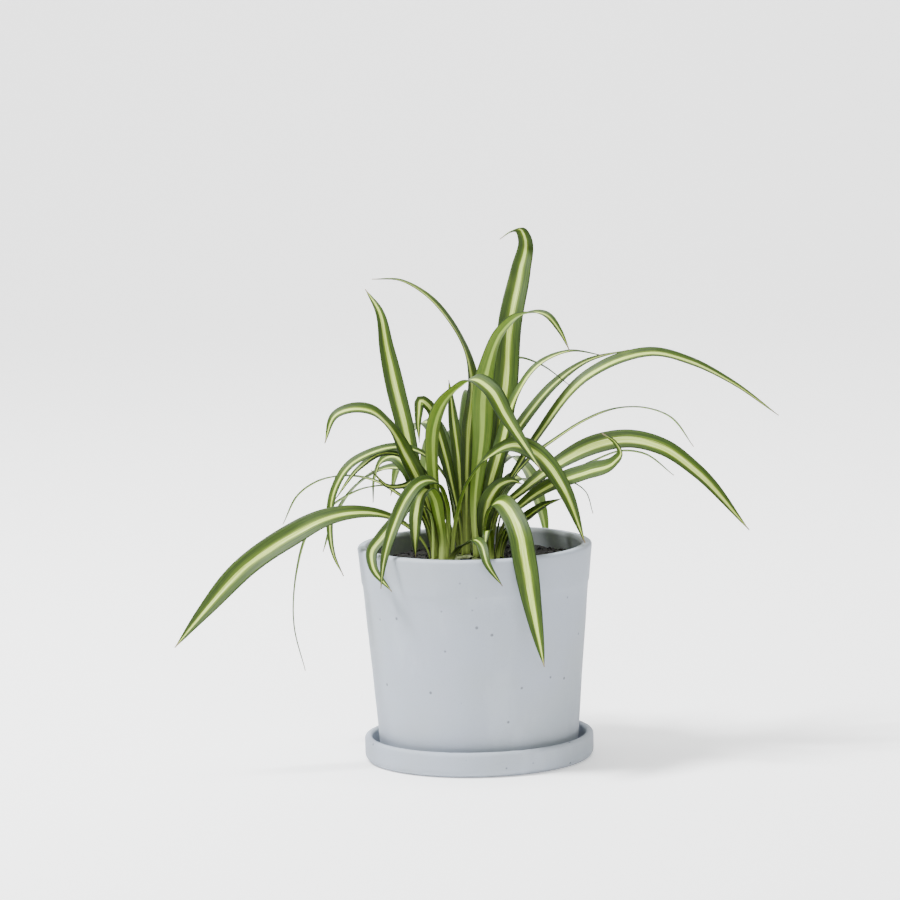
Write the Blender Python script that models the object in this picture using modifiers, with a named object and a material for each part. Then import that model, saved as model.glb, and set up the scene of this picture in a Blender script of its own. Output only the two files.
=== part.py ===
"""Spider plant in a matte pot with its saucer. Metres, +Z up.

The origin is the centre of the saucer's underside. -Y is the front.
"""
import math

import bmesh
import bpy
import numpy as np
from mathutils import Vector

# Saucer
SAUCER_RADIUS = 0.0734
SAUCER_HEIGHT = 0.0161
SAUCER_WALL = 0.005
SAUCER_FLOOR = 0.005
SAUCER_EDGE_ROUND = 0.0045

# Pot
GAP = 0.0003
POT_BASE = SAUCER_FLOOR + GAP
POT_TOP = 0.1386
RIM_RADIUS = 0.075
RIM_WALL = 0.0073
BAND_HEIGHT = 0.0245
BAND_STEP = 0.0005
FOOT_RADIUS = 0.0632
FOOT_ROUND = 0.0015
POT_WALL = 0.0062
POT_FLOOR = 0.0065
INNER_CORNER = 0.005
DRAIN_RADIUS = 0.007
LIP_OUTER_ROUND = 0.0022
LIP_INNER_ROUND = 0.003

# Soil and crowns
SOIL_LEVEL = 0.1255
SOIL_SWELL = 0.0012
SOIL_RINGS = 6
CROWN_TOP = 0.129
CROWN_BASE = 0.117
CROWN_RADIUS = 0.0105
CROWN_SHOULDER = 0.0009
CROWNS = {"left": (-0.020, -0.004), "right": (0.008, -0.005), "rear": (-0.006, 0.015)}

# Leaves
MM = 0.001
LEAF_THICKNESS = 0.0008
LEAF_STATIONS = 13
LEAF_BASE_WIDTH = 0.0042
LEAF_TIP_WIDTH = 0.0009
LEAF_WIDEST = 0.5
TIP_POWER = 2.6
CHANNEL = 0.1

ROUND_SEGMENTS = 48
CROWN_SEGMENTS = 24
ARC_STEPS = 4

# Colour (linear RGB) and roughness of each material
CEMENT = ((0.47, 0.50, 0.53), 0.75)
EARTH = ((0.022, 0.016, 0.011), 0.95)
STEM_BASE = ((0.55, 0.62, 0.33), 0.5)
LEAF_GREEN = ((0.10, 0.20, 0.02), 0.42)

# One row a leaf, in the crown that it grows from: the seat of its base from the crown's middle, the
# way it heads in degrees from +X, its greatest width, its twist in degrees at even steps from base
# to tip, and the course of its midrib: (reach, height) from the seat, with (reach, height, side)
# where the leaf also swings to its left. All lengths here are millimetres.
LEAVES = {
    "left": [
        ((2, -5), -44, 15, (0, 10, 20),
         [(-8, 42), (-10, 65), (-8, 85), (1, 102), (14, 112), (27, 118), (42, 112), (54, 97), (84, 64)]),
        ((6, -3), -31, 13, (0, 15, 45, 40),
         [(3, 24), (13, 51), (29, 68), (49, 76), (62, 72), (71, 65), (81, 52), (97, 16)]),
        ((-4, 8), 133, 12, (-45, -45, -40),
         [(18, 46), (27, 81), (35, 105), (43, 132), (49, 155), (62, 169)]),
        ((-5, 1), 192, 14, (-50, -65, -20, -30),
         [(6, 42), (17, 66), (29, 88), (39, 97), (53, 99), (62, 96), (70, 78)]),
        ((-7, 1), 158, 5, (0, 0, 0),
         [(9, 31), (21, 40), (38, 49), (57, 52), (78, 48), (92, 39), (104, 19)]),
        ((-9, -1), 194, 16, (-20, -40, -55, -50),
         [(15, 23), (28, 30), (45, 33), (65, 31), (91, 20), (118, 4), (148, -25), (167, -46)]),
        ((-1, -8), -128, 10, (30, 0, -40),
         [(-1, 12), (2, 28), (7, 42), (13, 48), (20, 45), (25, 35), (27, 20), (27, 6)]),
        ((-6, 6), 147, 10, (-50, -50, -50),
         [(11, 41), (19, 57), (29, 64), (38, 61), (44, 50), (46, 33)]),
        ((-2, 6), 183, 6, (-40, -40, -20), [(4, 46), (12, 52), (22, 47), (32, 47), (43, 58)]),
        ((-7, -6), -137, 9, (-20, -30, -60),
         [(5, 35), (19, 39), (31, 29), (43, 20), (52, 12), (56, 4, 5), (54, -11, 20)]),
        ((5, -7), -72, 7, (0, 20, 20), [(12, 8), (35, 16), (50, 20), (62, 18), (72, 8), (77, -6, 8)]),
        ((2, 0), -126, 9, (-10, -30, -40),
         [(0, 38), (8, 50), (19, 53), (31, 51), (42, 44), (56, 28), (67, 8), (71, -9)]),
    ],
    "right": [
        ((2, 6), 55, 16, (25, 35, 30),
         [(9, 55), (22, 111), (29, 149), (42, 180), (48, 199), (43, 206), (32, 206), (19, 202)]),
        ((-7, 3), -34, 14, (-70, -65, -5, 20),
         [(0, 36), (6, 75), (11, 120), (23, 146), (39, 158), (57, 158), (67, 148), (74, 136)]),
        ((-2, 2), 19, 12, (50, 45, 0, 0),
         [(4, 42), (13, 70), (25, 104), (39, 121), (61, 129), (84, 125)]),
        ((1, 3), 9, 12, (10, 25, 20),
         [(4, 33), (17, 53), (33, 76), (67, 114), (89, 124), (109, 127), (134, 120), (160, 106), (191, 83)]),
        ((-3, -7), -67, 15, (60, 30, 23),
         [(2, 14), (7, 27), (17, 37), (31, 41), (46, 36), (58, 26), (67, 6), (76, -18), (92, -55)]),
        ((5, -4), -30, 14, (30, 50, 50),
         [(8, 24), (23, 38), (43, 50), (68, 59), (87, 66), (92, 72), (88, 79), (79, 84)]),
        ((2, -2), -4, 15, (20, 40, 45),
         [(7, 31), (21, 43), (44, 60), (69, 72), (90, 75), (112, 69), (131, 55), (165, 16)]),
        ((7, -1), 5, 7, (-10, -20, -10),
         [(9, 29), (22, 40), (43, 51), (62, 60), (81, 66), (94, 64), (114, 49)]),
        ((-6, 6), 39, 5, (0, 0, 0),
         [(42, 57), (69, 70), (93, 79), (119, 84), (145, 82), (168, 73), (187, 52)]),
        ((9, 1), 0, 9, (40, 40, 20), [(7, 19), (17, 26), (28, 33), (39, 37)]),
        ((6, 5), 8, 4, (0, 0, 0), [(9, 36), (22, 45), (35, 48), (47, 47), (58, 40), (63, 25)]),
        ((-1, -3), -5, 12, (60, 60, 40), [(0, 26), (4, 40), (11, 48), (18, 50), (24, 48)]),
        ((2, -8), -98, 6, (0, 0, 10), [(4, 12), (10, 20), (18, 20), (25, 13)]),
        ((7, -6), -55, 6, (20, 30, 20), [(4, 14), (11, 22), (20, 24), (28, 18)]),
        ((2, 9), 64, 11, (0, 10, 0), [(6, 23), (21, 39), (45, 45), (66, 35), (81, 15), (88, -7)]),
    ],
    "rear": [
        ((1, -1), 172, 13, (-80, -60, -5, 0),
         [(-3, 80), (-6, 113), (-2, 132), (8, 151), (23, 168), (39, 177), (57, 178)]),
        ((-2, -5), -171, 9, (-30, -50, -65),
         [(8, 58), (14, 82), (20, 98), (24, 101), (26, 92), (26, 74)]),
        ((-5, -2), 196, 8, (-10, -30, -40),
         [(10, 55), (22, 67), (38, 72), (56, 69), (70, 62), (81, 45), (84, 26), (82, 5), (76, -9)]),
        ((-8, -4), 192, 6, (-30, -30, -20), [(14, 50), (31, 66), (45, 68), (59, 60), (76, 40)]),
        ((-9, -2), 159, 5, (0, 0, -30),
         [(13, 32), (36, 43), (57, 42), (78, 32), (98, 13), (108, -15), (111, -50), (104, -80)]),
        ((-3, 3), 144, 8, (-50, -50, -40), [(-1, 42), (0, 61), (3, 85), (6, 112)]),
        ((4, 6), 15, 6, (-20, 0, 20), [(6, 61), (11, 100), (22, 120), (35, 124), (47, 120), (69, 104)]),
        ((7, 2), 24, 8, (40, 30, 10), [(22, 65), (40, 88), (59, 106), (80, 118), (112, 124)]),
        ((1, 6), 78, 14, (0, 10, 0), [(4, 40), (14, 78), (34, 98), (58, 92), (78, 70), (92, 44)]),
        ((-4, 8), 104, 13, (0, 0, 0), [(4, 30), (14, 56), (34, 72), (60, 66), (84, 42), (98, 14)]),
        ((-4, 5), 119, 13, (0, -10, 0), [(4, 31), (15, 63), (35, 81), (58, 75), (77, 53), (91, 27)]),
        ((8, 4), 58, 12, (0, 10, 0), [(5, 28), (18, 50), (40, 58), (64, 46), (80, 22), (88, -2)]),
        ((-8, 4), 152, 11, (0, -10, 0), [(6, 28), (20, 48), (42, 54), (66, 44), (86, 20), (96, -4)]),
        ((1, 9), 83, 12, (0, 0, 0),
         [(4, 14), (14, 28), (32, 34), (50, 28), (62, 10), (67, -17), (68, -45)]),
    ],
}


def remove_all_objects():
    for item in list(bpy.data.objects):
        bpy.data.objects.remove(item)


def make_collection(name):
    group = bpy.data.collections.new(name)
    bpy.context.scene.collection.children.link(group)
    return group


def make_material(name, finish):
    colour, roughness = finish
    material = bpy.data.materials.new(name)
    material.use_nodes = True
    shader = material.node_tree.nodes["Principled BSDF"]
    shader.inputs["Base Color"].default_value = (*colour, 1.0)
    shader.inputs["Roughness"].default_value = roughness
    shader.inputs["Metallic"].default_value = 0.0
    return material


def add_object(name, mesh, group, finish):
    item = bpy.data.objects.new(name, mesh)
    group.objects.link(item)
    mesh.materials.append(make_material(f"{name} finish", finish))
    return item


def arc(centre, radius, start, end):
    """Points of a quarter or part circle in the (x, z) plane, from one angle in degrees to another."""
    angles = [math.radians(start + (end - start) * i / ARC_STEPS) for i in range(ARC_STEPS + 1)]
    return [(centre[0] + radius * math.cos(a), centre[1] + radius * math.sin(a)) for a in angles]


def turned(name, profile, group, finish, closed=False, segments=ROUND_SEGMENTS):
    """A round solid: the profile, top to bottom down its outer side, turned about Z."""
    mesh = bpy.data.meshes.new(name)
    edges = [(i, i + 1) for i in range(len(profile) - 1)]
    if closed:
        edges.append((len(profile) - 1, 0))
    mesh.from_pydata([(x, 0.0, z) for x, z in profile], edges, [])
    item = add_object(name, mesh, group, finish)
    screw = item.modifiers.new("turn", "SCREW")
    screw.axis = "Z"
    screw.steps = segments
    screw.render_steps = segments
    screw.use_merge_vertices = True
    screw.merge_threshold = 0.00001
    screw.use_smooth_shade = True
    return item


def make_saucer(group):
    lip = SAUCER_WALL / 2
    corner = SAUCER_EDGE_ROUND
    profile = [(0.0, SAUCER_FLOOR)]
    profile += [(SAUCER_RADIUS - SAUCER_WALL - 0.003, SAUCER_FLOOR)]
    profile += [(SAUCER_RADIUS - SAUCER_WALL - 0.0006, SAUCER_FLOOR + 0.0025)]
    profile += arc((SAUCER_RADIUS - lip, SAUCER_HEIGHT - lip), lip, 180, 0)
    profile += arc((SAUCER_RADIUS - corner, corner), corner, 0, -90)
    profile += [(0.0, 0.0)]
    return turned("saucer", profile, group, CEMENT)


def pot_outer_radius(z):
    """The pot's straight taper from its foot up to its rim, without the band."""
    share = (z - POT_BASE) / (POT_TOP - POT_BASE)
    return FOOT_RADIUS + (RIM_RADIUS - BAND_STEP - FOOT_RADIUS) * share


def pot_inner_radius(z):
    floor = POT_BASE + POT_FLOOR
    share = (z - floor) / (POT_TOP - floor)
    at_floor = pot_outer_radius(floor) - POT_WALL
    return at_floor + (RIM_RADIUS - RIM_WALL - at_floor) * share


def make_pot(group):
    floor = POT_BASE + POT_FLOOR
    band_foot = POT_TOP - BAND_HEIGHT
    outer, inner = LIP_OUTER_ROUND, LIP_INNER_ROUND
    profile = arc((RIM_RADIUS - outer, POT_TOP - outer), outer, 90, 0)
    profile += [(pot_outer_radius(band_foot) + BAND_STEP, band_foot)]
    profile += [(pot_outer_radius(band_foot - 0.002), band_foot - 0.002)]
    profile += [(pot_outer_radius(POT_BASE + FOOT_ROUND), POT_BASE + FOOT_ROUND)]
    profile += [(FOOT_RADIUS - FOOT_ROUND, POT_BASE), (DRAIN_RADIUS, POT_BASE)]
    profile += [(DRAIN_RADIUS, floor), (pot_inner_radius(floor) - INNER_CORNER, floor)]
    profile += [(pot_inner_radius(floor + INNER_CORNER), floor + INNER_CORNER)]
    profile += arc((RIM_RADIUS - RIM_WALL + inner, POT_TOP - inner), inner, 180, 90)
    return turned("pot", profile, group, CEMENT, closed=True)


def soil_height(x, y):
    """The soil's top: a slow swell, a little lower at the wall on the left."""
    swell = math.sin(95 * x + 0.6) * math.cos(80 * y - 0.4)
    return SOIL_LEVEL + SOIL_SWELL * swell + 0.01 * x


def make_soil(group, cutters):
    floor = POT_BASE + POT_FLOOR + GAP
    corner = INNER_CORNER
    rim = pot_inner_radius(SOIL_LEVEL) - GAP
    profile = [(rim * i / SOIL_RINGS, SOIL_LEVEL) for i in range(SOIL_RINGS + 1)]
    profile += [(pot_inner_radius(floor + corner) - GAP, floor + corner)]
    profile += [(pot_inner_radius(floor) - corner - GAP, floor), (0.0, floor)]
    turned_soil = turned("soil", profile, group, EARTH)
    mesh = baked_mesh(turned_soil)
    for vertex in mesh.vertices:
        x, y, z = vertex.co
        if z > SOIL_LEVEL - 0.0001:
            fade = 1 - (math.hypot(x, y) / rim) ** 4
            vertex.co.z = SOIL_LEVEL + fade * (soil_height(x, y) - SOIL_LEVEL)
    bpy.data.objects.remove(turned_soil)
    soil = add_object("soil", mesh, group, EARTH)
    for name, place in CROWNS.items():
        socket = make_cylinder(f"{name}_socket", place, CROWN_RADIUS + GAP, CROWN_BASE - GAP, cutters)
        cut = soil.modifiers.new(f"{name} socket", "BOOLEAN")
        cut.operation = "DIFFERENCE"
        cut.solver = "EXACT"
        cut.object = socket
    return soil


def baked_mesh(item):
    """The mesh of an object with its modifiers applied."""
    depsgraph = bpy.context.evaluated_depsgraph_get()
    mesh = bpy.data.meshes.new_from_object(item.evaluated_get(depsgraph))
    mesh.materials.clear()
    return mesh


def make_cylinder(name, place, radius, bottom, group):
    """A cutter: a cylinder that stands on its bottom height and runs well past the soil's top."""
    depth = POT_TOP - bottom
    shape = bmesh.new()
    bmesh.ops.create_cone(
        shape, cap_ends=True, segments=CROWN_SEGMENTS, radius1=radius, radius2=radius, depth=depth
    )
    mesh = bpy.data.meshes.new(name)
    shape.to_mesh(mesh)
    shape.free()
    item = bpy.data.objects.new(name, mesh)
    item.location = (*place, bottom + depth / 2)
    item.hide_render = True
    item.display_type = "WIRE"
    group.objects.link(item)
    return item


def make_crown(name, place, group):
    """The short thick stem that a fan of leaves grows from, half sunk in the soil."""
    shoulder = CROWN_SHOULDER
    profile = [(0.0, CROWN_TOP)]
    profile += arc((CROWN_RADIUS - shoulder, CROWN_TOP - shoulder), shoulder, 90, 0)
    profile += [(CROWN_RADIUS - 0.001, CROWN_BASE + 0.003), (CROWN_RADIUS - 0.004, CROWN_BASE)]
    profile += [(0.0, CROWN_BASE)]
    crown = turned(f"{name}_crown", profile, group, STEM_BASE, segments=CROWN_SEGMENTS)
    crown.location = (*place, 0.0)
    return crown


def smooth_course(points):
    """Even stations along a smooth curve through the points, which leaves the first one upright."""
    first = points[1]
    before = np.array([first[0], first[1], -first[2]])
    chain = [before] + [np.array(point) for point in points]
    chain.append(2 * chain[-1] - chain[-2])
    steps = [np.linalg.norm(b - a) for a, b in zip(chain, chain[1:])]
    slopes = []
    for i in range(1, len(chain) - 1):
        arriving = (chain[i] - chain[i - 1]) / steps[i - 1]
        leaving = (chain[i + 1] - chain[i]) / steps[i]
        slopes.append((arriving * steps[i] + leaving * steps[i - 1]) / (steps[i - 1] + steps[i]))
    dense = []
    for i in range(len(slopes) - 1):
        start, end, span = chain[i + 1], chain[i + 2], steps[i + 1]
        for t in np.linspace(0, 1, 12, endpoint=False):
            dense.append(hermite(start, slopes[i] * span, end, slopes[i + 1] * span, t))
    dense.append(chain[-2])
    dense = np.array(dense)
    lengths = np.concatenate([[0], np.cumsum(np.linalg.norm(np.diff(dense, axis=0), axis=1))])
    wanted = np.linspace(0, lengths[-1], LEAF_STATIONS)
    return np.stack([np.interp(wanted, lengths, dense[:, axis]) for axis in range(3)], axis=1)


def hermite(start, start_slope, end, end_slope, t):
    t2, t3 = t * t, t * t * t
    from_start = (2 * t3 - 3 * t2 + 1) * start + (t3 - 2 * t2 + t) * start_slope
    return from_start + (3 * t2 - 2 * t3) * end + (t3 - t2) * end_slope


def leaf_width(t, widest):
    """Narrow at the base, widest half-way, and drawn out to a fine tip."""
    rise = min(t / LEAF_WIDEST, 1.0)
    rise = rise * rise * (3 - 2 * rise)
    fall = 1 - max(0.0, (t - LEAF_WIDEST) / (1 - LEAF_WIDEST)) ** TIP_POWER
    base = min(LEAF_BASE_WIDTH, widest)
    return max(LEAF_TIP_WIDTH, (base + (widest - base) * rise) * fall)


def make_leaf(name, crown_place, leaf, group):
    """A channelled strip that follows the leaf's course, given its thickness by Solidify."""
    seat, heading, widest, twist, course = leaf
    angle = math.radians(heading)
    ahead = Vector((math.cos(angle), math.sin(angle), 0.0))
    aside = Vector((-math.sin(angle), math.cos(angle), 0.0))
    root = Vector((crown_place[0] + seat[0] * MM, crown_place[1] + seat[1] * MM, CROWN_TOP + GAP))
    places = [(0.0, 0.0, 0.0)]
    for point in course:
        reach, height = point[0] * MM, point[1] * MM
        side = point[2] * MM if len(point) > 2 else 0.0
        places.append((reach, side, height))
    stations = [root + ahead * p[0] + aside * p[1] + Vector((0, 0, p[2])) for p in smooth_course(places)]
    shape = bmesh.new()
    rows = LEAF_STATIONS - 1
    bmesh.ops.create_grid(shape, x_segments=2, y_segments=rows, size=1.0)
    for vertex in shape.verts:
        across = vertex.co.x
        index = round((vertex.co.y + 1) / 2 * rows)
        t = index / rows
        tangent = stations[min(index + 1, rows)] - stations[max(index - 1, 0)]
        tangent.normalize()
        flat = (aside - tangent * aside.dot(tangent)).normalized()
        upper = tangent.cross(flat)
        turn = math.radians(np.interp(t, np.linspace(0, 1, len(twist)), twist))
        side = flat * math.cos(turn) + upper * math.sin(turn)
        normal = upper * math.cos(turn) - flat * math.sin(turn)
        width = leaf_width(t, widest * MM)
        lift = CHANNEL * width * abs(across)
        vertex.co = stations[index] + side * (across * width / 2) + normal * lift
    mesh = bpy.data.meshes.new(name)
    shape.to_mesh(mesh)
    shape.free()
    mesh.shade_smooth()
    item = add_object(name, mesh, group, LEAF_GREEN)
    shell = item.modifiers.new("thickness", "SOLIDIFY")
    shell.thickness = LEAF_THICKNESS
    shell.offset = 0.0
    return item


def main():
    remove_all_objects()
    plant = make_collection("potted spider plant")
    cutters = make_collection("cutters")
    make_saucer(plant)
    make_pot(plant)
    make_soil(plant, cutters)
    for crown, place in CROWNS.items():
        make_crown(crown, place, plant)
        for number, leaf in enumerate(LEAVES[crown], 1):
            make_leaf(f"{crown}_leaf_{number:02d}", place, leaf, plant)


main()
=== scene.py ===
import math
import random

import bmesh
import bpy
from mathutils import Matrix, Vector, noise


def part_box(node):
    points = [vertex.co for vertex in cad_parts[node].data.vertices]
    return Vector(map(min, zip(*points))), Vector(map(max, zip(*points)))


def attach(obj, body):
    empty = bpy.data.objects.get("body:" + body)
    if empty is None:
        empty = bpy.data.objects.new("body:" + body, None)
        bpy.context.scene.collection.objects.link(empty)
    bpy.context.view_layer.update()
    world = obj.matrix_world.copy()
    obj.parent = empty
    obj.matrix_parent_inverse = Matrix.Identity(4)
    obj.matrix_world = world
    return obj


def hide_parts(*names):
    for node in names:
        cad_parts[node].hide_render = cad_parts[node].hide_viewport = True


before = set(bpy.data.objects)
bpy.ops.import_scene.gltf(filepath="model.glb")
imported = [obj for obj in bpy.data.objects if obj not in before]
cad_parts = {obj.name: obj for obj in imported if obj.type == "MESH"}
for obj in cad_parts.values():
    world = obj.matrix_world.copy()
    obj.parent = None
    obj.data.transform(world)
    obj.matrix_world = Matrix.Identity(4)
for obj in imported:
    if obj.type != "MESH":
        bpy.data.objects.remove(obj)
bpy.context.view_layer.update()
body = "root"
mm = 0.001
print("frame loaded")


# Shader maths: a wrapped socket, so that an expression on values adds its Math nodes
class Value:
    def __init__(self, shader, socket):
        self.shader = shader
        self.socket = socket

    def math(self, operation, *others):
        inputs = {index: item for index, item in enumerate([self, *others])}
        return self.shader.node("ShaderNodeMath", {"operation": operation}, inputs)

    def __add__(self, other):
        return self.math("ADD", other)

    def __radd__(self, other):
        return self.math("ADD", other)

    def __sub__(self, other):
        return self.math("SUBTRACT", other)

    def __rsub__(self, other):
        return self.shader.node("ShaderNodeMath", {"operation": "SUBTRACT"}, {0: other, 1: self})

    def __mul__(self, other):
        return self.math("MULTIPLY", other)

    def __rmul__(self, other):
        return self.math("MULTIPLY", other)

    # 0 below low, 1 above high, smooth between
    def step(self, low, high):
        return self.shader.node(
            "ShaderNodeMapRange",
            {"interpolation_type": "SMOOTHSTEP"},
            {"Value": self, "From Min": low, "From Max": high},
        )


class Shader:
    def __init__(self, name):
        self.material = bpy.data.materials.new(name)
        self.material.use_nodes = True
        self.tree = self.material.node_tree
        self.principled = self.tree.nodes["Principled BSDF"]

    def node(self, kind, settings=None, inputs=None, output=0):
        item = self.tree.nodes.new(kind)
        for key, value in (settings or {}).items():
            setattr(item, key, value)
        for key, value in (inputs or {}).items():
            self.put(item.inputs[key], value)
        return Value(self, item.outputs[output])

    def put(self, socket, value):
        if isinstance(value, Value):
            self.tree.links.new(value.socket, socket)
        else:
            socket.default_value = value

    def mix(self, factor, first, second):
        settings = {"data_type": "RGBA"}
        return self.node("ShaderNodeMix", settings, {0: factor, 6: first, 7: second}, 2)

    def noise(self, where, scale, detail=3.0, rough=0.5):
        inputs = {"Vector": where, "Scale": scale, "Detail": detail, "Roughness": rough}
        return self.node("ShaderNodeTexNoise", None, inputs)

    # The three parts of a place, each as a value
    def split(self, where):
        item = self.node("ShaderNodeSeparateXYZ", None, {0: where})
        return [Value(self, socket) for socket in item.socket.node.outputs]

    def scaled(self, where, size):
        return self.node("ShaderNodeMapping", None, {"Vector": where, "Scale": size})

    def objectPlace(self):
        return self.node("ShaderNodeTexCoord", None, None, "Object")

    def bump(self, height, strength, distance):
        inputs = {"Height": height, "Strength": strength, "Distance": distance}
        return self.node("ShaderNodeBump", None, inputs)

    def finish(self, **sockets):
        for key, value in sockets.items():
            self.put(self.principled.inputs[key.replace("_", " ")], value)
        return self.material


# Turns a finished bmesh into a piece that rides the body and stands in for its CAD node
def finishPiece(name, shape, materials, node, smooth=True):
    mesh = bpy.data.meshes.new(name)
    shape.to_mesh(mesh)
    shape.free()
    if smooth:
        mesh.shade_smooth()
    for material in materials:
        mesh.materials.append(material)
    piece = bpy.data.objects.new(name, mesh)
    bpy.context.scene.collection.objects.link(piece)
    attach(piece, body)
    if node:
        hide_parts(node)
    return piece


# Camera and light
camera = {
    "aim": (-0.0142, 0.0, 0.1988),
    "distance": 3.0,
    "tilt": 7.54,   # degrees down
    "roll": 1.42,   # degrees, to the right
    "lens": 188.2,
    "sensor": 36,
    "farEnd": 50,
}


def makeCamera():
    tilt, roll = math.radians(camera["tilt"]), math.radians(camera["roll"])
    ahead = Vector((0, math.cos(tilt), -math.sin(tilt)))
    right = Vector((1, 0, 0))
    up = Vector((0, math.sin(tilt), math.cos(tilt)))
    leanRight = right * math.cos(roll) - up * math.sin(roll)
    leanUp = right * math.sin(roll) + up * math.cos(roll)
    data = bpy.data.cameras.new("camera")
    data.lens = camera["lens"]
    data.sensor_width = camera["sensor"]
    data.clip_end = camera["farEnd"]
    item = bpy.data.objects.new("camera", data)
    turn = Matrix((leanRight, leanUp, -ahead)).transposed().to_4x4()
    item.matrix_world = Matrix.Translation(Vector(camera["aim"]) - ahead * camera["distance"]) @ turn
    bpy.context.scene.collection.objects.link(item)
    bpy.context.scene.camera = item


studio = {
    "floorColour": (0.94, 0.94, 0.94, 1),
    "floorGlow": 0.34,
    "worldColour": (1.0, 1.0, 1.0, 1),
    "worldStrength": 0.50,
    "halfWidth": 6.0,
    "front": -4.5,
    "back": 2.6,
    "bend": 1.2,   # radius of the sweep from floor to wall
    "bendSteps": 12,
    "wall": 5.0,
}


lights = {
    "key": {
        "place": (-1.3, -0.25, 2.3), "aim": (0, 0, 0.10), "size": 0.55, "power": 185,
        "colour": (0.98, 0.99, 1.0),
    },
    "front": {
        "place": (0.5, -2.6, 1.2), "aim": (0, 0, 0.15), "size": 2.0, "power": 46,
        "colour": (1.0, 1.0, 0.98),
    },
    "wall wash": {
        "place": (0, 0.6, 3.4), "aim": (0, 3.8, 1.2), "size": 3.0, "power": 190,
        "colour": (1, 1, 1),
    },
}


def addLight(name, light):
    data = bpy.data.lights.new(name, "AREA")
    data.shape = "DISK"
    data.size = light["size"]
    data.energy = light["power"]
    data.color = light["colour"]
    item = bpy.data.objects.new(name, data)
    item.location = light["place"]
    towards = Vector(light["aim"]) - Vector(light["place"])
    item.rotation_euler = towards.to_track_quat("-Z", "Y").to_euler()
    bpy.context.scene.collection.objects.link(item)


def makeStudio():
    shape = bmesh.new()
    half, bend, back = studio["halfWidth"], studio["bend"], studio["back"]
    course = [(studio["front"], 0.0)]
    for i in range(studio["bendSteps"] + 1):
        angle = math.radians(90 * i / studio["bendSteps"])
        course.append((back + bend * math.sin(angle), bend - bend * math.cos(angle)))
    course.append((back + bend, studio["wall"]))
    line = [shape.verts.new((-half, y, z)) for y, z in course]
    edges = [shape.edges.new(pair) for pair in zip(line, line[1:])]
    grown = bmesh.ops.extrude_edge_only(shape, edges=edges)
    moved = [item for item in grown["geom"] if isinstance(item, bmesh.types.BMVert)]
    bmesh.ops.translate(shape, verts=moved, vec=(2 * half, 0, 0))
    bmesh.ops.recalc_face_normals(shape, faces=shape.faces)
    mesh = bpy.data.meshes.new("floor")
    shape.to_mesh(mesh)
    shape.free()
    mesh.shade_smooth()
    paper = Shader("backdrop paper")
    glow = {"Emission_Color": (1, 1, 1, 1), "Emission_Strength": studio["floorGlow"]}
    mesh.materials.append(paper.finish(Base_Color=studio["floorColour"], Roughness=0.9, **glow))
    floor = bpy.data.objects.new("floor", mesh)
    bpy.context.scene.collection.objects.link(floor)
    world = bpy.data.worlds.new("soft room")
    world.use_nodes = True
    background = world.node_tree.nodes["Background"]
    background.inputs["Color"].default_value = studio["worldColour"]
    background.inputs["Strength"].default_value = studio["worldStrength"]
    bpy.context.scene.world = world
    for name, light in lights.items():
        addLight(name, light)


makeCamera()
makeStudio()
print("camera and studio ready")


# Points along a round stretch, from one angle to another in degrees
def arc(centre, radius, start, end, steps=8):
    angles = [math.radians(start + (end - start) * i / steps) for i in range(steps + 1)]
    return [(centre[0] + radius * math.cos(a), centre[1] + radius * math.sin(a)) for a in angles]


# A profile in the (x, z) plane spun a full turn about Z
def spunShape(profile, steps, closed=False):
    shape = bmesh.new()
    line = [shape.verts.new((x, 0, z)) for x, z in profile]
    edges = [shape.edges.new(pair) for pair in zip(line, line[1:])]
    if closed:
        edges.append(shape.edges.new((line[-1], line[0])))
    bmesh.ops.spin(
        shape, geom=line + edges, cent=(0, 0, 0), axis=(0, 0, 1),
        angle=math.tau, steps=steps, use_merge=True,
    )
    bmesh.ops.remove_doubles(shape, verts=shape.verts, dist=0.000002)
    bmesh.ops.recalc_face_normals(shape, faces=shape.faces)
    return shape


# Pot and saucer: a matte cast body, pale blue-grey, with fine pores and a few dark pinholes, and painted
# shade on the pot's inner wall
castBody = {
    "pale": (0.292, 0.326, 0.382, 1),
    "warm": (0.285, 0.317, 0.350, 1),
    "bloom": (0.36, 0.395, 0.445, 1),
    "pinhole": (0.10, 0.11, 0.13, 1),
    "roughness": 0.72,
    "cloudScale": 14,
    "bloomScale": 42,
    "grainScale": 900,
    "poreScale": 620.0,
    "bumpDepth": 0.4 * mm,
}


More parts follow.
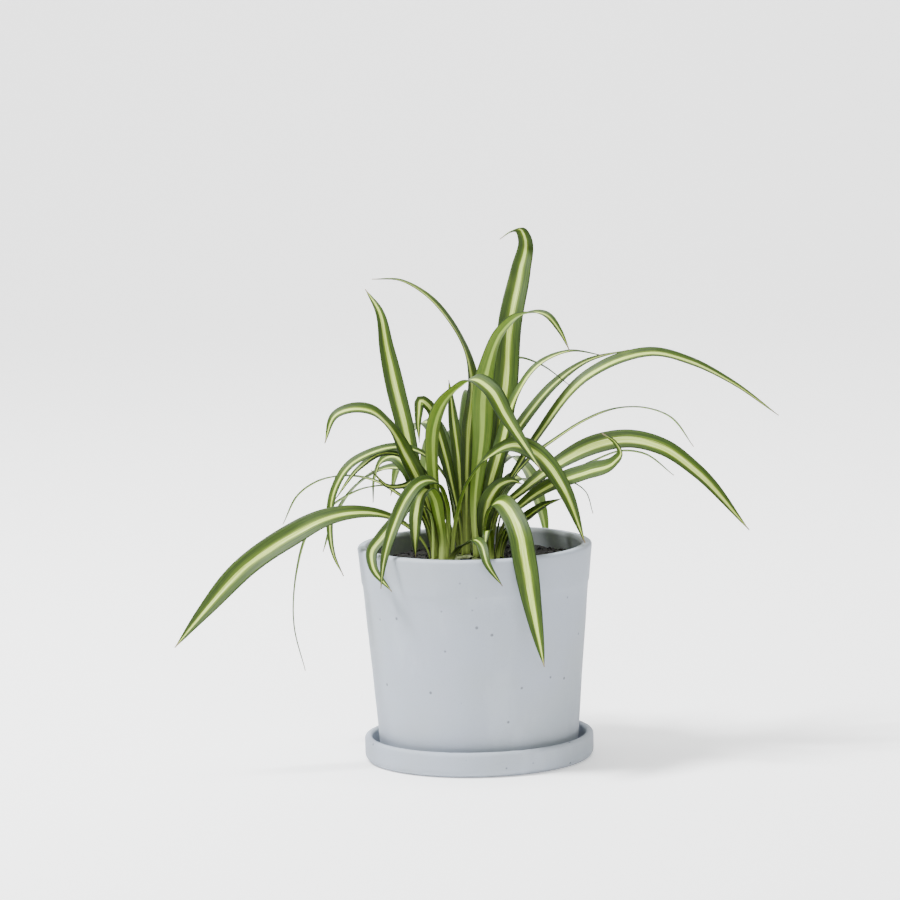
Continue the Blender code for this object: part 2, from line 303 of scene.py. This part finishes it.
def castMaterial(name, pinholes, paintedInnerShade=None):
    shader = Shader(name)
    where = shader.objectPlace()
    cloud = shader.noise(where, castBody["cloudScale"], 4, 0.55)
    bloom = shader.noise(shader.scaled(where, (1, 1, 0.4)), castBody["bloomScale"], 3, 0.6).step(0.52, 0.72)
    grain = shader.noise(where, castBody["grainScale"], 2, 0.6)
    base = shader.mix(cloud.step(0.35, 0.68), castBody["pale"], castBody["warm"])
    base = shader.mix(bloom * 0.35, base, castBody["bloom"])
    cells = {"Vector": where, "Scale": pinholes["scale"], "Randomness": 1.0}
    spots = shader.node("ShaderNodeTexVoronoi", {"feature": "F1"}, cells, "Distance")
    pick = shader.node("ShaderNodeTexVoronoi", {"feature": "F1"}, cells, "Color")
    lot = shader.node("ShaderNodeSeparateColor", None, {0: pick})
    chosen = lot.step(pinholes["share"], pinholes["share"] + 0.01)
    hole = (1 - spots.step(pinholes["size"] * 0.5, pinholes["size"])) * chosen
    fine = {"Vector": where, "Scale": castBody["poreScale"], "Randomness": 1.0}
    specks = shader.node("ShaderNodeTexVoronoi", {"feature": "F1"}, fine, "Distance")
    pores = 1 - specks.step(0.10, 0.22)
    base = shader.mix(pores * 0.12, base, castBody["pinhole"])
    base = shader.mix(hole * 0.85, base, castBody["pinhole"])
    # painted shade: the pot's inner wall below the rim is darkened to stand for the shadow that the rim and
    # leaves cast inside the pot
    if paintedInnerShade:
        across, deep, up = shader.split(where)
        reach = (across * across + deep * deep).math("SQRT")
        innerShadeMask = 1 - reach.math("SUBTRACT", up * paintedInnerShade["slope"] + paintedInnerShade["start"]).step(-0.0008, 0.0008)
        base = shader.mix(innerShadeMask * 0.8, base, paintedInnerShade["colour"])
    height = grain * 0.35 - hole * 1.6 - pores * 0.35 + cloud * 0.3
    return shader.finish(
        Base_Color=base,
        Roughness=castBody["roughness"] + (grain - 0.5) * 0.2,
        Normal=shader.bump(height, 0.35, castBody["bumpDepth"]),
    )


potSizes = {
    "top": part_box("pot")[1][2],
    "base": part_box("pot")[0][2],
    "rim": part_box("pot")[1][0],
    "wall": 7.3 * mm,
    "lipOuter": 2.2 * mm,
    "lipInner": 3.0 * mm,
    "band": 24.5 * mm,      # height of the collar under the rim
    "bandEdge": 1.2 * mm,
    "bandFade": 1.6 * mm,
    "step": 0.8 * mm,       # how far the collar stands out
    "foot": 63.2 * mm,
    "footRound": 1.5 * mm,
    "footInset": 1.4 * mm,
    "innerFloor": 57.0 * mm,
    "innerCorner": 5 * mm,
    "floor": 6.5 * mm,
    "drain": 7.0 * mm,
    "waver": 0.22 * mm,     # how far the thrown wall strays from round
    "waverScale": 28,
    "rippleScale": 110,
    "steps": 180,
    "pinholes": {"scale": 105.0, "share": 0.62, "size": 0.135},
    "paintedInnerShade": {"start": 59.2 * mm, "slope": 0.078, "colour": (0.105, 0.112, 0.108, 1)},   # inner wall, darkened as painted shade
}


def makePot():
    s = potSizes
    top, base, rim = s["top"], s["base"], s["rim"]
    outer, inner = s["lipOuter"], s["lipInner"]
    slope = (rim - s["step"] - s["foot"]) / (top - base)
    profile = arc((rim - outer, top - outer), outer, 90, 0)
    bandFoot = top - s["band"]
    atBand = s["foot"] + slope * (bandFoot - base)
    for i in range(1, 7):
        share = i / 6
        height = top - outer + (bandFoot + s["bandEdge"] - top + outer) * share
        profile.append((rim + (atBand + s["step"] - rim) * share, height))
    wallTop, wallFoot = bandFoot - s["bandFade"], base + s["footRound"]
    profile += [(atBand + s["step"] * 0.6, bandFoot), (atBand, wallTop)]
    rows = 16
    for i in range(1, rows + 1):
        height = wallTop + (wallFoot - wallTop) * i / rows
        profile.append((s["foot"] + slope * (height - base), height))
    profile += arc((s["foot"] - s["footInset"], wallFoot), s["footRound"], -10, -90, 5)
    floorTop = base + s["floor"]
    profile += [(s["drain"], base), (s["drain"], floorTop), (s["innerFloor"] - s["innerCorner"], floorTop)]
    innerFoot = floorTop + s["innerCorner"]
    profile += [(s["innerFloor"], innerFoot)]
    innerTop = rim - s["wall"]
    innerRows = 9
    for i in range(1, innerRows):
        height = innerFoot + (top - inner - innerFoot) * i / innerRows
        profile.append((s["innerFloor"] + (innerTop - s["innerFloor"]) * i / innerRows, height))
    profile += arc((innerTop + inner, top - inner), inner, 180, 90)
    shape = spunShape(profile, s["steps"], closed=True)
    for vertex in shape.verts:
        spread = noise.noise(vertex.co * s["waverScale"]) + 0.4 * noise.noise(vertex.co * s["rippleScale"])
        away = Vector((vertex.co.x, vertex.co.y, 0)).normalized()
        if vertex.co.z > base + 2 * mm:
            vertex.co += away * spread * s["waver"]
            if vertex.co.z > top - 4 * mm:
                vertex.co.z += 0.5 * spread * s["waver"]
    finish = castMaterial("cast pot", s["pinholes"], s["paintedInnerShade"])
    return finishPiece("castPot", shape, [finish], "pot")


saucerSizes = {
    "top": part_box("saucer")[1][2],
    "rim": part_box("saucer")[1][0],
    "wall": 5.0 * mm,
    "floor": 5.0 * mm,
    "edge": 4.5 * mm,
    "corner": 2.8 * mm,     # round at the foot of the inner wall
    "chip": 0.55 * mm,      # depth of the wear along the lip
    "wearStart": 0.22,
    "waver": 0.25 * mm,
    "steps": 220,
    "pinholes": {"scale": 120.0, "share": 0.75, "size": 0.13},
}


def makeSaucer():
    s = saucerSizes
    top, rim, lip = s["top"], s["rim"], s["wall"] / 2
    profile = [(0, s["floor"]), (rim - s["wall"] - 6 * mm, s["floor"])]
    profile += arc((rim - s["wall"] - 3.4 * mm, s["floor"] + s["corner"]), s["corner"], -90, 0, 5)
    profile += [(rim - s["wall"], s["floor"] + 6 * mm)]
    profile += arc((rim - lip, top - lip), lip, 180, 0, 12)
    profile += [(rim, top - lip - 2 * mm), (rim, top - lip - 4 * mm), (rim, s["edge"] + 1 * mm)]
    profile += arc((rim - s["edge"], s["edge"]), s["edge"], 0, -90)
    profile += [(rim * 0.5, 0), (0, 0)]
    shape = spunShape(profile, s["steps"])
    for vertex in shape.verts:
        if vertex.co.z > s["floor"] + 4 * mm:
            away = Vector((vertex.co.x, vertex.co.y, 0)).normalized()
            wear = noise.noise(vertex.co * 420)
            slow = noise.noise(vertex.co * 30)
            vertex.co += away * slow * s["waver"]
            near = max(0.0, (vertex.co.z - top + 2 * lip) / (2 * lip))
            if wear > s["wearStart"]:
                bite = (wear - s["wearStart"]) * s["chip"] * near
                vertex.co.z -= bite * 2.2
                vertex.co -= away * bite
    finish = castMaterial("cast saucer", s["pinholes"])
    return finishPiece("castSaucer", shape, [finish], "saucer")


makePot()
makeSaucer()
print("pot and saucer cast")


crownPlaces = {"left": (-0.020, -0.004), "right": (0.008, -0.005), "rear": (-0.006, 0.015)}

# Soil: a dark crumbly bed, heaped a little around the crowns, with loose crumbs on it
soilBed = {
    "level": 127.0 * mm,
    "radius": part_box("soil")[1][0] - 0.2 * mm,
    "depth": 9 * mm,
    "rings": 60,
    "steps": 200,
    "heave": 1.6 * mm,
    "mound": 2.3 * mm,
    "moundReach": 13 * mm,
    "lumps": ((45, 1.0), (160, 0.55), (480, 0.25)),   # noise scales and their shares
    "lean": 0.018,   # rise towards +X
    "wet": (0.0015, 0.0015, 0.0015, 1),
    "loam": (0.008, 0.006, 0.005, 1),
    "fibre": (0.035, 0.027, 0.02, 1),
    "edge": 0.8 * mm,
    "crumbs": 620,
    "crumbSize": (0.5 * mm, 1.9 * mm),
    "seed": 7,
}


def soilMaterial():
    shader = Shader("potting soil")
    where = shader.objectPlace()
    clumps = shader.noise(where, 160, 5, 0.65)
    fibres = shader.noise(shader.scaled(where, (1, 1, 3)), 700, 3, 0.7)
    base = shader.mix(clumps.step(0.35, 0.7), soilBed["wet"], soilBed["loam"])
    base = shader.mix(fibres.step(0.62, 0.75) * 0.5, base, soilBed["fibre"])
    height = clumps + fibres * 0.5
    return shader.finish(Base_Color=base, Roughness=0.95, Normal=shader.bump(height, 0.9, 0.0012))


def soilHeight(x, y):
    place = Vector((x, y, 0))
    swell = sum(noise.noise(place * scale) * share for scale, share in soilBed["lumps"])
    near = min(math.hypot(x - cx, y - cy) for cx, cy in crownPlaces.values()) / soilBed["moundReach"]
    mound = soilBed["mound"] * math.exp(-near * near)
    return soilBed["level"] + soilBed["heave"] * swell + mound + soilBed["lean"] * x


def makeSoil():
    s = soilBed
    profile = [(s["radius"] * i / s["rings"], s["level"]) for i in range(s["rings"] + 1)]
    profile += [(s["radius"] - s["edge"], s["level"] - s["depth"]), (0, s["level"] - s["depth"])]
    shape = spunShape(profile, s["steps"])
    for vertex in shape.verts:
        if vertex.co.z > s["level"] - 1e-5:
            vertex.co.z = soilHeight(vertex.co.x, vertex.co.y)
    earth = soilMaterial()
    finishPiece("soilBed", shape, [earth], "soil")
    draw = random.Random(s["seed"])
    crumbs = bmesh.new()
    for _ in range(s["crumbs"]):
        reach = (s["radius"] - 2 * mm) * math.sqrt(draw.random())
        angle = draw.uniform(0, math.tau)
        x, y = reach * math.cos(angle), reach * math.sin(angle)
        size = draw.uniform(*s["crumbSize"]) * draw.uniform(0.5, 1)
        place = Matrix.Translation((x, y, soilHeight(x, y) + 0.3 * size))
        spin = draw.uniform(0, math.tau)
        turn = Matrix.Rotation(spin, 4, Vector((draw.random(), draw.random(), 1)).normalized())
        squash = Matrix.Diagonal((size, size * draw.uniform(0.5, 1), size * draw.uniform(0.4, 0.9), 1))
        bmesh.ops.create_icosphere(crumbs, subdivisions=1, radius=1, matrix=place @ turn @ squash)
    for vertex in crumbs.verts:
        vertex.co += noise.noise_vector(vertex.co * 900) * 0.25 * mm
    finishPiece("soilCrumbs", crumbs, [earth], None, smooth=False)


makeSoil()
print("soil laid")


# Crowns: the pale stubs that the leaves grow from, kept as they come from the frame
crownStem = {
    "sheath": (0.20, 0.24, 0.09, 1),
    "pale": (0.46, 0.52, 0.27, 1),
    "lineScale": 420,
}


def crownMaterial():
    shader = Shader("crown stem")
    where = shader.objectPlace()
    lines = shader.noise(shader.scaled(where, (1, 1, 0.15)), crownStem["lineScale"], 3, 0.6)
    base = shader.mix(lines.step(0.4, 0.62), crownStem["sheath"], crownStem["pale"])
    return shader.finish(Base_Color=base, Roughness=0.55, Normal=shader.bump(lines, 0.5, 0.0006))


crownFinish = crownMaterial()
for crown in crownPlaces:
    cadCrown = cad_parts[f"{crown}_crown"]
    cadCrown.data.materials.clear()
    cadCrown.data.materials.append(crownFinish)
print("crowns finished")


# One row a leaf, in the crown that it grows from: the seat of its base from the crown's middle, the
# way it heads in degrees from +X, its greatest width, its twist in degrees at even steps from base
# to tip, and the course of its midrib: (reach, height) from the seat, with a third number where it
# also swings to its left. All of these lengths are in millimetres.
leaves = {
    "left": [
        ((2, -5), -44, 15, (0, 10, 20),
         [(-8, 42), (-10, 65), (-8, 85), (1, 102), (14, 112), (27, 118), (42, 112), (54, 97), (84, 64)]),
        ((6, -3), -31, 13, (0, 15, 45, 40),
         [(3, 24), (13, 51), (29, 68), (49, 76), (62, 72), (71, 65), (81, 52), (97, 16)]),
        ((-4, 8), 133, 12, (-45, -45, -40),
         [(18, 46), (27, 81), (35, 105), (43, 132), (49, 155), (62, 169)]),
        ((-5, 1), 192, 14, (-50, -65, -20, -30),
         [(6, 42), (17, 66), (29, 88), (39, 97), (53, 99), (62, 96), (70, 78)]),
        ((-7, 1), 158, 5, (0, 0, 0),
         [(9, 31), (21, 40), (38, 49), (57, 52), (78, 48), (92, 39), (104, 19)]),
        ((-9, -1), 194, 16, (-20, -40, -55, -50),
         [(15, 23), (28, 30), (45, 33), (65, 31), (91, 20), (118, 4), (148, -25), (167, -46)]),
        ((-1, -8), -128, 10, (30, 0, -40),
         [(-1, 12), (2, 28), (7, 42), (13, 48), (20, 45), (25, 35), (27, 20), (27, 6)]),
        ((-6, 6), 147, 10, (-50, -50, -50),
         [(11, 41), (19, 57), (29, 64), (38, 61), (44, 50), (46, 33)]),
        ((-2, 6), 183, 6, (-40, -40, -20), [(4, 46), (12, 52), (22, 47), (32, 47), (43, 58)]),
        ((-7, -6), -137, 9, (-20, -30, -60),
         [(5, 35), (19, 39), (31, 29), (43, 20), (52, 12), (56, 4, 5), (54, -11, 20)]),
        ((5, -7), -72, 7, (0, 20, 20), [(12, 8), (35, 16), (50, 20), (62, 18), (72, 8), (77, -6, 8)]),
        ((2, 0), -126, 9, (-10, -30, -40),
         [(0, 38), (8, 50), (19, 53), (31, 51), (42, 44), (56, 28), (67, 8), (71, -9)]),
    ],
    "right": [
        ((2, 6), 55, 16, (25, 35, 30),
         [(9, 55), (22, 111), (29, 149), (42, 180), (48, 199), (43, 206), (32, 206), (19, 202)]),
        ((-7, 3), -34, 14, (-70, -65, -5, 20),
         [(0, 36), (6, 75), (11, 120), (23, 146), (39, 158), (57, 158), (67, 148), (74, 136)]),
        ((-2, 2), 19, 12, (50, 45, 0, 0),
         [(4, 42), (13, 70), (25, 104), (39, 121), (61, 129), (84, 125)]),
        ((1, 3), 9, 12, (10, 25, 20),
         [(4, 33), (17, 53), (33, 76), (67, 114), (89, 124), (109, 127), (134, 120), (160, 106), (191, 83)]),
        ((-3, -7), -67, 15, (60, 30, 23),
         [(2, 14), (7, 27), (17, 37), (31, 41), (46, 36), (58, 26), (67, 6), (76, -18), (92, -55)]),
        ((5, -4), -30, 14, (30, 50, 50),
         [(8, 24), (23, 38), (43, 50), (68, 59), (87, 66), (92, 72), (88, 79), (79, 84)]),
        ((2, -2), -4, 15, (20, 40, 45),
         [(7, 31), (21, 43), (44, 60), (69, 72), (90, 75), (112, 69), (131, 55), (165, 16)]),
        ((7, -1), 5, 7, (-10, -20, -10),
         [(9, 29), (22, 40), (43, 51), (62, 60), (81, 66), (94, 64), (114, 49)]),
        ((-6, 6), 39, 5, (0, 0, 0),
         [(42, 57), (69, 70), (93, 79), (119, 84), (145, 82), (168, 73), (187, 52)]),
        ((9, 1), 0, 9, (40, 40, 20), [(7, 19), (17, 26), (28, 33), (39, 37)]),
        ((6, 5), 8, 4, (0, 0, 0), [(9, 36), (22, 45), (35, 48), (47, 47), (58, 40), (63, 25)]),
        ((-1, -3), -5, 12, (60, 60, 40), [(0, 26), (4, 40), (11, 48), (18, 50), (24, 48)]),
        ((2, -8), -98, 6, (0, 0, 10), [(4, 12), (10, 20), (18, 20), (25, 13)]),
        ((7, -6), -55, 6, (20, 30, 20), [(4, 14), (11, 22), (20, 24), (28, 18)]),
        ((2, 9), 64, 11, (0, 10, 0), [(6, 23), (21, 39), (45, 45), (66, 35), (81, 15), (88, -7)]),
    ],
    "rear": [
        ((1, -1), 172, 13, (-80, -60, -5, 0),
         [(-3, 80), (-6, 113), (-2, 132), (8, 151), (23, 168), (39, 177), (57, 178)]),
        ((-2, -5), -171, 9, (-30, -50, -65),
         [(8, 58), (14, 82), (20, 98), (24, 101), (26, 92), (26, 74)]),
        ((-5, -2), 196, 8, (-10, -30, -40),
         [(10, 55), (22, 67), (38, 72), (56, 69), (70, 62), (81, 45), (84, 26), (82, 5), (76, -9)]),
        ((-8, -4), 192, 6, (-30, -30, -20), [(14, 50), (31, 66), (45, 68), (59, 60), (76, 40)]),
        ((-9, -2), 159, 5, (0, 0, -30),
         [(13, 32), (36, 43), (57, 42), (78, 32), (98, 13), (108, -15), (111, -50), (104, -80)]),
        ((-3, 3), 144, 8, (-50, -50, -40), [(-1, 42), (0, 61), (3, 85), (6, 112)]),
        ((4, 6), 15, 6, (-20, 0, 20), [(6, 61), (11, 100), (22, 120), (35, 124), (47, 120), (69, 104)]),
        ((7, 2), 24, 8, (40, 30, 10), [(22, 65), (40, 88), (59, 106), (80, 118), (112, 124)]),
        ((1, 6), 78, 14, (0, 10, 0), [(4, 40), (14, 78), (34, 98), (58, 92), (78, 70), (92, 44)]),
        ((-4, 8), 104, 13, (0, 0, 0), [(4, 30), (14, 56), (34, 72), (60, 66), (84, 42), (98, 14)]),
        ((-4, 5), 119, 13, (0, -10, 0), [(4, 31), (15, 63), (35, 81), (58, 75), (77, 53), (91, 27)]),
        ((8, 4), 58, 12, (0, 10, 0), [(5, 28), (18, 50), (40, 58), (64, 46), (80, 22), (88, -2)]),
        ((-8, 4), 152, 11, (0, -10, 0), [(6, 28), (20, 48), (42, 54), (66, 44), (86, 20), (96, -4)]),
        ((1, 9), 83, 12, (0, 0, 0),
         [(4, 14), (14, 28), (32, 34), (50, 28), (62, 10), (67, -17), (68, -45)]),
    ],
}


leafShape = {
    "crownTop": 129.3 * mm,
    "baseWidth": 4.2 * mm,
    "tipWidth": 0.5 * mm,
    "widest": 0.5,          # share of the length where a leaf is widest
    "tipPower": 2.6,
    "channel": 0.13,        # how deeply a leaf is folded, as a share of its width
    "sway": 0.10,           # small turns along a leaf, in radians
    "swell": 0.03,          # small changes of width
    "flutter": 0.012,       # waves along the edges
    "stepsPerSpan": 24,
    "thickness": 0.45 * mm,
    "rows": 84,
    "columns": 10,
    "seed": 11,
}

leafColours = {
    "deep": (0.011, 0.027, 0.0008, 1),
    "margin": (0.037, 0.072, 0.002, 1),
    "edge": (0.005, 0.013, 0.003, 1),
    "stripe": (0.36, 0.47, 0.050, 1),
    "stripePale": (0.54, 0.64, 0.20, 1),
    "base": (0.45, 0.57, 0.15, 1),
    "under": (0.105, 0.168, 0.012, 1),
    "underStripe": (0.31, 0.44, 0.075, 1),
    "dryTip": (0.23, 0.17, 0.11, 1),
    "feather": (0.110, 0.172, 0.008, 1),
    "underDeep": (0.058, 0.122, 0.008, 1),
    "ageing": (0.17, 0.23, 0.02, 1),
}


# The place at share t of a smooth span with a given slope at each end
def hermite(start, startSlope, end, endSlope, t):
    t2, t3 = t * t, t * t * t
    fromStart = (2 * t3 - 3 * t2 + 1) * start + (t3 - 2 * t2 + t) * startSlope
    return fromStart + (3 * t2 - 2 * t3) * end + (t3 - t2) * endSlope


# Even stations along a smooth curve through the points, upright at the first one
def smoothCourse(points, count):
    first = points[1]
    chain = [Vector((first[0], first[1], -first[2]))] + [Vector(point) for point in points]
    chain.append(2 * chain[-1] - chain[-2])
    steps = [(b - a).length for a, b in zip(chain, chain[1:])]
    slopes = []
    for i in range(1, len(chain) - 1):
        arriving = (chain[i] - chain[i - 1]) / steps[i - 1]
        leaving = (chain[i + 1] - chain[i]) / steps[i]
        slopes.append((arriving * steps[i] + leaving * steps[i - 1]) / (steps[i - 1] + steps[i]))
    dense, fine = [], leafShape["stepsPerSpan"]
    for i in range(len(slopes) - 1):
        start, end, span = chain[i + 1], chain[i + 2], steps[i + 1]
        leaving, arriving = slopes[i] * span, slopes[i + 1] * span
        dense += [hermite(start, leaving, end, arriving, k / fine) for k in range(fine)]
    dense.append(chain[-2])
    run = [0.0]
    for a, b in zip(dense, dense[1:]):
        run.append(run[-1] + (b - a).length)
    stations, k = [], 0
    for i in range(count):
        wanted = run[-1] * i / (count - 1)
        while k < len(run) - 2 and run[k + 1] < wanted:
            k += 1
        share = (wanted - run[k]) / max(1e-9, run[k + 1] - run[k])
        stations.append(dense[k].lerp(dense[k + 1], min(1, share)))
    return stations


# A narrow base, a long swell to the widest place and a fine tip
def leafWidth(t, widest):
    s = leafShape
    rise = min(t / s["widest"], 1)
    rise = rise * rise * (3 - 2 * rise)
    fall = 1 - max(0, (t - s["widest"]) / (1 - s["widest"])) ** s["tipPower"]
    base = min(s["baseWidth"], widest)
    return max(s["tipWidth"], (base + (widest - base) * rise) * fall)


# The turn at share t of a leaf, eased between the values in its row
def twistAt(twist, t):
    place = t * (len(twist) - 1)
    index = min(int(place), len(twist) - 2)
    share = place - index
    share = share * share * (3 - 2 * share)
    return math.radians(twist[index] * (1 - share) + twist[index + 1] * share)


# A cream stripe down the middle of a green blade, with fine veins along it
def leafMaterial(name, under):
    shader = Shader(name)
    uv = shader.node("ShaderNodeUVMap", {"uv_map": "UVMap"})
    side, along, _ = shader.split(uv)
    across = (side - 0.5).math("ABSOLUTE") * 2
    where = shader.objectPlace()
    tone = shader.node("ShaderNodeAttribute", {"attribute_name": "tone"}, None, 2)
    course = {0: side * 15 + tone * 40, 1: along * 3.0, 2: tone * 9}
    stretched = shader.node("ShaderNodeCombineXYZ", None, course)
    veins = shader.noise(stretched, 2.4, 4, 0.6)
    broad = shader.noise(where, 38, 2, 0.5)
    half = 0.22 + tone * 0.09 + (veins - 0.5) * 0.34
    stripe = 1 - across.math("SUBTRACT", half).step(-0.05, 0.07)
    feather = 1 - across.math("SUBTRACT", half).step(0.02, 0.34)
    c = leafColours
    if under:
        green = shader.mix(veins.step(0.35, 0.7), c["under"], c["underDeep"])
        green = shader.mix(across.step(0.86, 1.0) * 0.7, green, c["margin"])
        pale = c["underStripe"]
    else:
        green = shader.mix(veins.step(0.3, 0.72), c["deep"], c["margin"])
        green = shader.mix(feather * 0.55, green, c["feather"])
        green = shader.mix(across.step(0.88, 1.0) * 0.75, green, c["edge"])
        pale = shader.mix(veins.step(0.42, 0.6), c["stripe"], c["stripePale"])
    base = shader.mix(stripe * 0.95, green, pale)
    base = shader.mix((1 - along.step(0.02, 0.22)) * (0.75 - across * 0.25), base, c["base"])
    base = shader.mix(along.step(0.965, 1.0) * 0.8, base, c["dryTip"])
    base = shader.mix(broad.step(0.55, 0.8) * 0.18, base, c["ageing"])
    height = veins + (1 - across.step(0.0, 0.10)) * -0.5
    return shader.finish(
        Base_Color=base,
        Roughness=0.54 + (veins - 0.5) * 0.18 + stripe * 0.05,
        Specular_IOR_Level=0.25,
        Normal=shader.bump(height, 0.45, 0.0005),
    )


def makeLeaf(name, node, crown, leaf, draw, finishes):
    s = leafShape
    seat, heading, widest, twist, course = leaf
    angle = math.radians(heading)
    ahead = Vector((math.cos(angle), math.sin(angle), 0))
    aside = Vector((-math.sin(angle), math.cos(angle), 0))
    middle = crownPlaces[crown]
    root = Vector((middle[0] + seat[0] * mm, middle[1] + seat[1] * mm, s["crownTop"]))
    places = [(0, 0, 0)]
    places += [(p[0] * mm, p[2] * mm if len(p) > 2 else 0, p[1] * mm) for p in course]
    rows, columns = s["rows"], s["columns"]
    stations = smoothCourse(places, rows + 1)
    centres = [root + ahead * p.x + aside * p.y + Vector((0, 0, p.z)) for p in stations]
    phase, tone = draw.uniform(0, 6), draw.uniform(-1, 1)
    shape = bmesh.new()
    shape.loops.layers.uv.new("UVMap")
    bmesh.ops.create_grid(shape, x_segments=columns, y_segments=rows, size=1, calc_uvs=True)
    bmesh.ops.reverse_faces(shape, faces=shape.faces)
    toneLayer = shape.verts.layers.float.new("tone")
    for vertex in shape.verts:
        across = vertex.co.x
        index = round((vertex.co.y + 1) / 2 * rows)
        t = index / rows
        tangent = (centres[min(index + 1, rows)] - centres[max(index - 1, 0)]).normalized()
        flat = (aside - tangent * aside.dot(tangent)).normalized()
        upper = tangent.cross(flat)
        turn = twistAt(twist, t) + s["sway"] * math.sin(5 * t + phase) * min(1, 3 * t)
        side = flat * math.cos(turn) + upper * math.sin(turn)
        normal = upper * math.cos(turn) - flat * math.sin(turn)
        width = leafWidth(t, widest * mm) * (1 + s["swell"] * math.sin(17 * t + phase))
        lift = s["channel"] * width * (abs(across) ** 1.35 - 0.35)
        lift += s["flutter"] * width * math.sin(29 * t + phase + 1.6 * across) * across * across
        vertex.co = centres[index] + side * (across * width / 2) + normal * lift
        vertex[toneLayer] = tone
    piece = finishPiece(name, shape, finishes, node)
    shell = piece.modifiers.new("thickness", "SOLIDIFY")
    shell.thickness = s["thickness"]
    shell.offset = 0
    shell.material_offset = 1
    shell.use_even_offset = False
    return piece


def makeLeaves():
    finishes = [leafMaterial("leaf upper side", False), leafMaterial("leaf underside", True)]
    draw = random.Random(leafShape["seed"])
    for crown, rowsOfLeaves in leaves.items():
        for number, leaf in enumerate(rowsOfLeaves, 1):
            name, node = f"{crown}Leaf{number:02d}", f"{crown}_leaf_{number:02d}"
            makeLeaf(name, node, crown, leaf, draw, finishes)
        print(f"{crown} crown: {len(rowsOfLeaves)} leaves")


makeLeaves()
